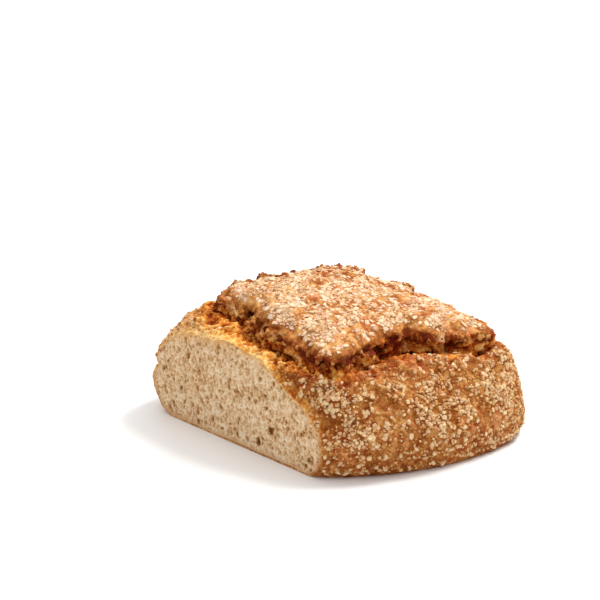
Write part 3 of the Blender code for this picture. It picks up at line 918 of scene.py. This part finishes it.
def strew(crust, name, chance, rng):
    """One mesh of many flat, uneven, slightly curled bits, each lying on its spot."""
    bits = BITS[name]
    spots, normals = spread(crust, chance, bits.most, bits.spacing, rng)
    count, sides = len(spots), bits.sides
    radii = bits.radius + bits.growth * rng.uniform(0, 1, count) ** bits.rarity
    thickness = rng.uniform(bits.thinnest, bits.thickest, count) * (radii if bits.in_radii else 1.0)
    up = unit(normals + bits.tilt * rng.normal(0, 1, (count, 3)))
    along = unit(np.cross(up, rng.normal(0, 1, (count, 3))))
    across = np.cross(up, along)
    turn = np.arange(sides) / sides * 2 * math.pi
    uneven = 1 + bits.ragged * rng.uniform(-1, 0.7, (count, sides))
    stretch = rng.uniform(1.0, bits.longer, (count, 1))
    curl = rng.normal(0, 0.22, (count, 1))
    flat_x = radii[:, None] * uneven * stretch * np.cos(turn)
    flat_y = radii[:, None] * uneven / stretch ** 0.5 * np.sin(turn)

    rings, rim_and_under_shade = [], []
    for share, height in BIT_RINGS:
        bump = rng.uniform(0.75, 1.25, (count, sides))
        x, y = flat_x * share, flat_y * share
        z = thickness[:, None] * (height * bump + curl * share ** 2 * np.cos(turn) ** 2)
        if share == 0.0:
            x, y, z = x[:, :1], y[:, :1], z[:, :1]
        ring = (spots[:, None] + x[..., None] * along[:, None] + y[..., None] * across[:, None]
                + z[..., None] * up[:, None])
        rings.append(ring)
        # Rings below the middle get 1.3, darker than any rim: painted shade under each bit.
        rim_and_under_shade.append(np.full(ring.shape[:2], share if height > 0 else 1.3))
    points = np.concatenate(rings, axis=1)
    per_bit = points.shape[1]
    faces = (bit_faces(sides)[None] + per_bit * np.arange(count)[:, None, None]).reshape(-1, 3)
    piece = new_piece(name, points.reshape(-1, 3), faces, smooth=False)
    store(piece, rim=np.concatenate(rim_and_under_shade, axis=1).ravel(),
          tone=np.repeat(rng.uniform(0, 1, count), per_bit))
    return piece


def bit_faces(sides):
    """Triangles of one bit: a middle point, rings of points, and a middle point below."""
    pairs = [(a, (a + 1) % sides) for a in range(sides)]
    last = 1 + sides * (len(BIT_RINGS) - 2)
    faces = [(0, 1 + a, 1 + b) for a, b in pairs]
    for inner in range(1, last - sides, sides):
        outer = inner + sides
        for a, b in pairs:
            faces += [(inner + a, outer + a, outer + b), (inner + a, outer + b, inner + b)]
    faces += [(last, last - sides + b, last - sides + a) for a, b in pairs]
    return np.array(faces)


def make_toppings(crust, zone, place, angle, rng):
    """Oat flakes on the lid, gritty bits in clusters on the sides, and dark crumbs along the lip."""
    points = piece_points(crust)
    clear = smooth_step(points[:, 2], 2.0, 4.5) * (points[:, 0] > -CUT_DISTANCE + 0.8)
    patches = smooth_step(layered_noise(points, 9.0, 111, 3), 0.0, 0.14)
    bare = sum(far_in * facing(angle, *where) for far_in, *where in BARE_EDGES)
    bare = bare + 0.5 * layered_noise(points, 9.0, 117, 2)
    inner_lid = past(place - bare, "brow", -0.6, 0.3)
    store(crust, oaty=0.45 * inner_lid * patches + 0.10 * zone["bits"])

    on_lid = inner_lid * (0.07 + 0.93 * patches) * clear
    clumped = zone["bits"] * clear
    left_side, far_side = facing(angle, 232, 4), facing(angle, 180)
    on_lip = 0.25 * zone["cliff"] * patches + near_place(place, "lip", 0.3) * (0.8 + 3.0 * far_side)
    on_left = 0.2 * left_side * (zone["cliff"] + near_place(place, "brow", 0.4))
    chances = {
        "oat_flakes": on_lid,
        "oat_bits": clumped + 0.04 * zone["side"] * clear + 0.10 * on_lid,
        "bran_bits": (0.40 * zone["side"] + clumped + 0.10 * on_lid) * clear,
        "crust_crumbs": on_lip * clear + on_left * clear,
    }
    return {name: strew(crust, name, chance, rng) for name, chance in chances.items()}


# ------------ materials


def paint(red, green, blue):
    """A colour given as it shows on screen, 0 to 255, as a linear colour."""
    shown = np.array([red, green, blue]) / 255
    linear = np.where(shown <= 0.04045, shown / 12.92, ((shown + 0.055) / 1.055) ** 2.4)
    return (*linear.tolist(), 1.0)


def tones(*stops):
    """Stops for a ramp from (place, red, green, blue), the colours as they show on screen."""
    return [(place, paint(*colour)) for place, *colour in stops]


class Finish:
    """A material's node graph, built call by call. Sizes are millimetres."""

    def __init__(self, name, specular):
        self.material = bpy.data.materials.new(name)
        self.material.use_nodes = True
        self.nodes = self.material.node_tree.nodes
        self.links = self.material.node_tree.links
        self.shader = self.nodes["Principled BSDF"]
        self.shader.inputs["Specular IOR Level"].default_value = specular
        self.where = self.nodes.new("ShaderNodeTexCoord").outputs["Object"]

    def node(self, kind, inputs, **settings):
        """A new node with its inputs, by name or number, and its settings."""
        node = self.nodes.new("ShaderNode" + kind)
        for name, value in settings.items():
            setattr(node, name, value)
        for name, value in inputs.items():
            self.put(node.inputs[name], value)
        return node

    def put(self, socket, value):
        """Set a socket to a value, another socket or the number stored on the mesh under a name."""
        if isinstance(value, str):
            value = self.node("Attribute", {}, attribute_name=value).outputs["Fac"]
        if isinstance(value, bpy.types.NodeSocket):
            self.links.new(value, socket)
        else:
            socket.default_value = value

    def noise(self, size, detail=3.0, roughness=0.55):
        """Cloudy noise with lumps of about this size."""
        return self.node("TexNoise", {"Vector": self.where, "Scale": 1 / (size * MM), "Detail": detail,
                                      "Roughness": roughness}).outputs["Fac"]

    def cells(self, size):
        """Distance from scattered seeds about this far apart."""
        return self.node("TexVoronoi", {"Vector": self.where, "Scale": 1 / (size * MM)}).outputs["Distance"]

    def fade(self, value, low, high, bottom=0.0, top=1.0):
        """The value's range from low to high, softly turned into bottom to top."""
        return self.node("MapRange", {"Value": value, "From Min": low, "From Max": high, "To Min": bottom,
                                      "To Max": top}, interpolation_type="SMOOTHSTEP").outputs["Result"]

    def sum(self, *terms):
        """The sum of (value, weight) pairs."""
        total = 0.0
        for value, weight in terms:
            total = self.node("Math", {0: value, 1: weight, 2: total}, operation="MULTIPLY_ADD").outputs[0]
        return total

    def times(self, first, second):
        """One value times another."""
        return self.node("Math", {0: first, 1: second}, operation="MULTIPLY").outputs[0]

    def ramp(self, value, stops):
        """Colours along a value, from (place, colour) stops."""
        node = self.node("ValToRGB", {"Fac": value})
        marks = node.color_ramp.elements
        while len(marks) < len(stops):
            marks.new(0.5)
        for mark, (place, colour) in zip(marks, stops):
            mark.position = place
            mark.color = colour
        return node.outputs["Color"]

    def mix(self, share, first, second):
        """One colour turning into another as the share goes from 0 to 1."""
        return self.node("Mix", {0: share, 6: first, 7: second}, data_type="RGBA").outputs[2]

    def finish(self, colour, roughness, height=None, bump=0.3):
        """Connect colour, roughness and relief to the shader."""
        self.put(self.shader.inputs["Base Color"], colour)
        self.put(self.shader.inputs["Roughness"], roughness)
        if height is not None:
            relief_node = self.node("Bump", {"Strength": 1.0, "Distance": bump * MM, "Height": height})
            self.put(self.shader.inputs["Normal"], relief_node.outputs["Normal"])
        return self.material


GOLDEN_TONES = tones(
    (0.0, 240, 200, 140), (0.25, 214, 156, 88), (0.45, 178, 112, 50),
    (0.65, 142, 74, 20), (0.82, 120, 50, 7), (1.0, 88, 28, 1),
)
RUDDY_TONES = tones(
    (0.0, 240, 196, 152), (0.25, 218, 154, 102), (0.45, 188, 112, 60),
    (0.65, 158, 70, 20), (0.82, 142, 48, 6), (1.0, 104, 24, 0),
)
TORN_TONES = tones(
    (0.0, 248, 208, 136), (0.25, 232, 168, 78), (0.5, 210, 124, 38),
    (0.72, 174, 78, 12), (1.0, 112, 32, 0),
)
BAKED_RIND_TONES = tones((0.3, 240, 196, 142), (0.5, 216, 158, 100), (0.7, 176, 108, 56))
GOLDEN_RIND_TONES = tones((0.35, 252, 226, 180), (0.5, 246, 200, 130), (0.65, 222, 146, 68))
# Crumb colours, pale to dark; the dark end shows down in the bubbles, painted shade.
CRUMB_TONES = tones(
    (0.0, 252, 234, 208), (0.3, 240, 208, 166), (0.55, 216, 172, 124),
    (0.8, 176, 126, 72), (1.0, 128, 78, 34),
)


def crust_finish():
    finish = Finish("crust", 0.12)
    medium = finish.noise(4.0, 3.0, 0.6)
    fine = finish.noise(1.5, 3.0, 0.7)
    grainy = finish.noise(0.7, 2.0, 0.6)
    speckle = finish.sum((finish.fade(fine, 0.32, 0.68), 0.28), (finish.fade(grainy, 0.32, 0.68), 0.12),
                         (finish.fade(medium, 0.35, 0.65), 0.28), (-0.34, 1.0))
    speckle = finish.times(speckle, "lively")
    tone = finish.sum(("toast", 1.0), (speckle, 1.0))
    torn_tone = finish.sum(("toast", 0.95), (speckle, 1.3), (-0.06, 1.0))
    golden, ruddy = (finish.ramp(tone, stops) for stops in (GOLDEN_TONES, RUDDY_TONES))
    skin = finish.mix("red", golden, ruddy)
    oaty = finish.times("oaty", finish.fade(fine, 0.42, 0.56, 0.0, 0.85))
    skin = finish.mix(oaty, skin, paint(240, 206, 158))
    specks = finish.fade(finish.cells(2.4), 0.06, 0.16, 0.55, 0.0)
    skin = finish.mix(specks, skin, paint(112, 56, 16))
    colour = finish.mix("torn", skin, finish.ramp(torn_tone, TORN_TONES))
    mottling = finish.sum((medium, 0.6), (fine, 0.4))
    baked, golden = (finish.ramp(mottling, stops) for stops in (BAKED_RIND_TONES, GOLDEN_RIND_TONES))
    rind = finish.mix("torn", baked, golden)
    cut_share = finish.times("cut", finish.fade(fine, 0.3, 0.6, 0.9, 0.5))
    colour = finish.mix(cut_share, colour, rind)
    height = finish.times(finish.sum((fine, 0.6), (grainy, 0.4)), "lively")
    return finish.finish(colour, finish.fade(fine, 0.3, 0.7, 0.5, 0.78), height, 0.75)


def crumb_finish():
    finish = Finish("crumb", 0.1)
    fine = finish.noise(1.1, 4.0, 0.6)
    medium = finish.noise(5.0, 3.0, 0.6)
    grain = finish.noise(0.7, 2.0, 0.6)
    clouds = ((fine, 0.22), (grain, 0.22), (medium, 0.12))
    speckles = [(finish.fade(cloud, 0.3, 0.7), weight) for cloud, weight in clouds]
    # Darker down in the cut bubbles by their depth: painted shade in the pores.
    tone = finish.sum(("depth", 0.40), *speckles, (-0.16, 1.0))
    edge = finish.sum(("away", 1.0), (medium, 2.5), (-1.2, 1.0))
    near_crust = finish.fade(edge, 0.2, 2.6, 0.55, 0.0)
    colour = finish.mix(near_crust, finish.ramp(tone, CRUMB_TONES), paint(222, 164, 108))
    golden = finish.times("golden", finish.fade(fine, 0.3, 0.7, 0.0, 0.7))
    colour = finish.mix(golden, colour, paint(252, 190, 104))
    specks = finish.fade(finish.cells(2.6), 0.05, 0.10, 0.6, 0.0)
    colour = finish.mix(specks, colour, paint(130, 84, 44))
    for name, value in (("Weight", 0.12), ("Radius", (0.0016, 0.0010, 0.0006)), ("Scale", 1.0)):
        finish.shader.inputs["Subsurface " + name].default_value = value
    height = finish.sum((fine, 0.6), (grain, 0.4))
    return finish.finish(colour, finish.fade(fine, 0.3, 0.7, 0.75, 0.9), height, 0.5)


def oat_finish(name, pale, toasted):
    """Oat flakes, from pale to toasted by flake, darker towards their rims as toasted edges with painted
    shade, and darkest below as painted shade.
    """
    finish = Finish(name, 0.12)
    grain = finish.noise(0.7, 3.0, 0.6)
    # The rim number darkens the edges, toasted and painted shade, and the undersides, painted shade.
    tone = finish.sum(("tone", 0.5), (grain, 0.35), (finish.noise(14.0, 2.0), 0.35), ("rim", 0.42),
                      (-0.40, 1.0))
    halfway = tuple((a + b) / 2 for a, b in zip(pale, toasted))
    colour = finish.ramp(tone, ((0.0, pale), (0.55, halfway), (1.0, toasted)))
    return finish.finish(colour, finish.fade(grain, 0.3, 0.7, 0.6, 0.8), grain, 0.3)


def bran_finish(name, low, high):
    """Toasted bits in the crust's own browns, from the tone low to high."""
    finish = Finish(name, 0.12)
    fine = finish.noise(1.0, 3.0, 0.6)
    tone = finish.sum(("tone", high - low), (fine, 0.3), (low - 0.15, 1.0))
    return finish.finish(finish.ramp(tone, GOLDEN_TONES), finish.fade(fine, 0.3, 0.7, 0.5, 0.75), fine, 0.4)


# ------------ floor, light and camera

# Distances are metres, and the lens and the sensor are millimetres.
VIEW_AROUND, VIEW_ABOVE = math.radians(-45.097), math.radians(20.0)
VIEW_DISTANCE = 1.17
LENS, SENSOR_WIDTH, NEAREST_SEEN = 100.0, 36.0, 0.02
# What the camera looks at, in millimetres from the loaf's middle.
LOOKED_AT = (59.5, 87.2, 45.0)
FLOOR_HALF = 4.0
LIGHTS_AIM_AT = 0.04
# Lights: how far their direction leans right and away from the viewer, distance, size, watts and colour.
LIGHTS = {
    "overhead": (0.0, 0.25, 3.2, 7.0, 150.0, (1, 1, 1)),
    "key": (0.55, 0.28, 1.4, 0.42, 15.0, (1.0, 0.985, 0.96)),
}
LIGHT_ALL_ROUND = 0.44


def look_from(thing, target, direction, distance):
    """Put a light or the camera so far from its target in a direction, and turn it to the target."""
    thing.location = target + direction * distance
    thing.rotation_euler = direction.to_track_quat("Z", "Y").to_euler()


def add_floor():
    """A plain pale floor."""
    data = bpy.data.meshes.new("floor")
    corners = [(x * FLOOR_HALF, y * FLOOR_HALF, 0) for x, y in ((-1, -1), (1, -1), (1, 1), (-1, 1))]
    data.from_pydata(corners, [], [(0, 1, 2, 3)])
    finish = Finish("floor", 0.5)
    tone = finish.ramp(finish.noise(180.0, 2.0), ((0.3, (0.9, 0.9, 0.9, 1)), (0.7, (0.93, 0.93, 0.93, 1))))
    data.materials.append(finish.finish(tone, 0.6))
    floor = add_object("floor", data)


def add_light():
    """Square soft lights that shine on the loaf, and an even light all round."""
    right = Vector((math.cos(VIEW_AROUND), math.sin(VIEW_AROUND), 0))
    away = Vector((-math.sin(VIEW_AROUND), math.cos(VIEW_AROUND), 0))
    for name, (to_right, to_back, distance, size, watts, colour) in LIGHTS.items():
        lamp = bpy.data.lights.new(name, "AREA")
        lamp.shape = "SQUARE"
        lamp.size, lamp.energy, lamp.color = size, watts, colour
        direction = (Vector((0, 0, 1)) + right * to_right + away * to_back).normalized()
        look_from(add_object(name, lamp), Vector((0, 0, LIGHTS_AIM_AT)), direction, distance)
    world = bpy.data.worlds.new("studio")
    world.use_nodes = True
    sky = world.node_tree.nodes["Background"].inputs
    sky["Color"].default_value = (1, 1, 1, 1)
    sky["Strength"].default_value = LIGHT_ALL_ROUND
    bpy.context.scene.world = world
    bpy.context.scene.view_settings.view_transform = "Standard"


def add_camera():
    """The camera at the photo's viewing angle."""
    data = bpy.data.cameras.new("camera")
    data.lens, data.sensor_width, data.clip_start = LENS, SENSOR_WIDTH, NEAREST_SEEN
    camera = add_object("camera", data)
    flat = math.cos(VIEW_ABOVE)
    back = Vector((math.sin(VIEW_AROUND) * flat, -math.cos(VIEW_AROUND) * flat, math.sin(VIEW_ABOVE)))
    look_from(camera, Vector((LOOKED_AT + FOOTPRINT_SHIFT) * MM), back, VIEW_DISTANCE)
    bpy.context.scene.camera = camera


# ------------ the scene


def dress(thing, material):
    """Give a piece its material and say what it stands for."""
    thing.data.materials.append(material)
    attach(thing, "root")
    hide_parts("loaf")


def main():
    """Build every piece, dress it, and add the floor, the light and the camera."""
    rng = np.random.default_rng(SEED)
    crust, pocket, zone, place, angle = make_crust()
    crumb = make_crumb(pocket, rng)
    toppings = make_toppings(crust, zone, place, angle, rng)
    dress(crust, crust_finish())
    dress(crumb, crumb_finish())
    for name, *colours in (("oat_flakes", paint(250, 230, 200), paint(200, 126, 62)),
                           ("oat_bits", paint(252, 228, 180), paint(184, 108, 42))):
        dress(toppings[name], oat_finish(name, *colours))
    dress(toppings["bran_bits"], bran_finish("bran_bits", 0.05, 0.55))
    dress(toppings["crust_crumbs"], bran_finish("crust_crumbs", 0.25, 0.95))
    add_floor()
    add_light()
    add_camera()


main()
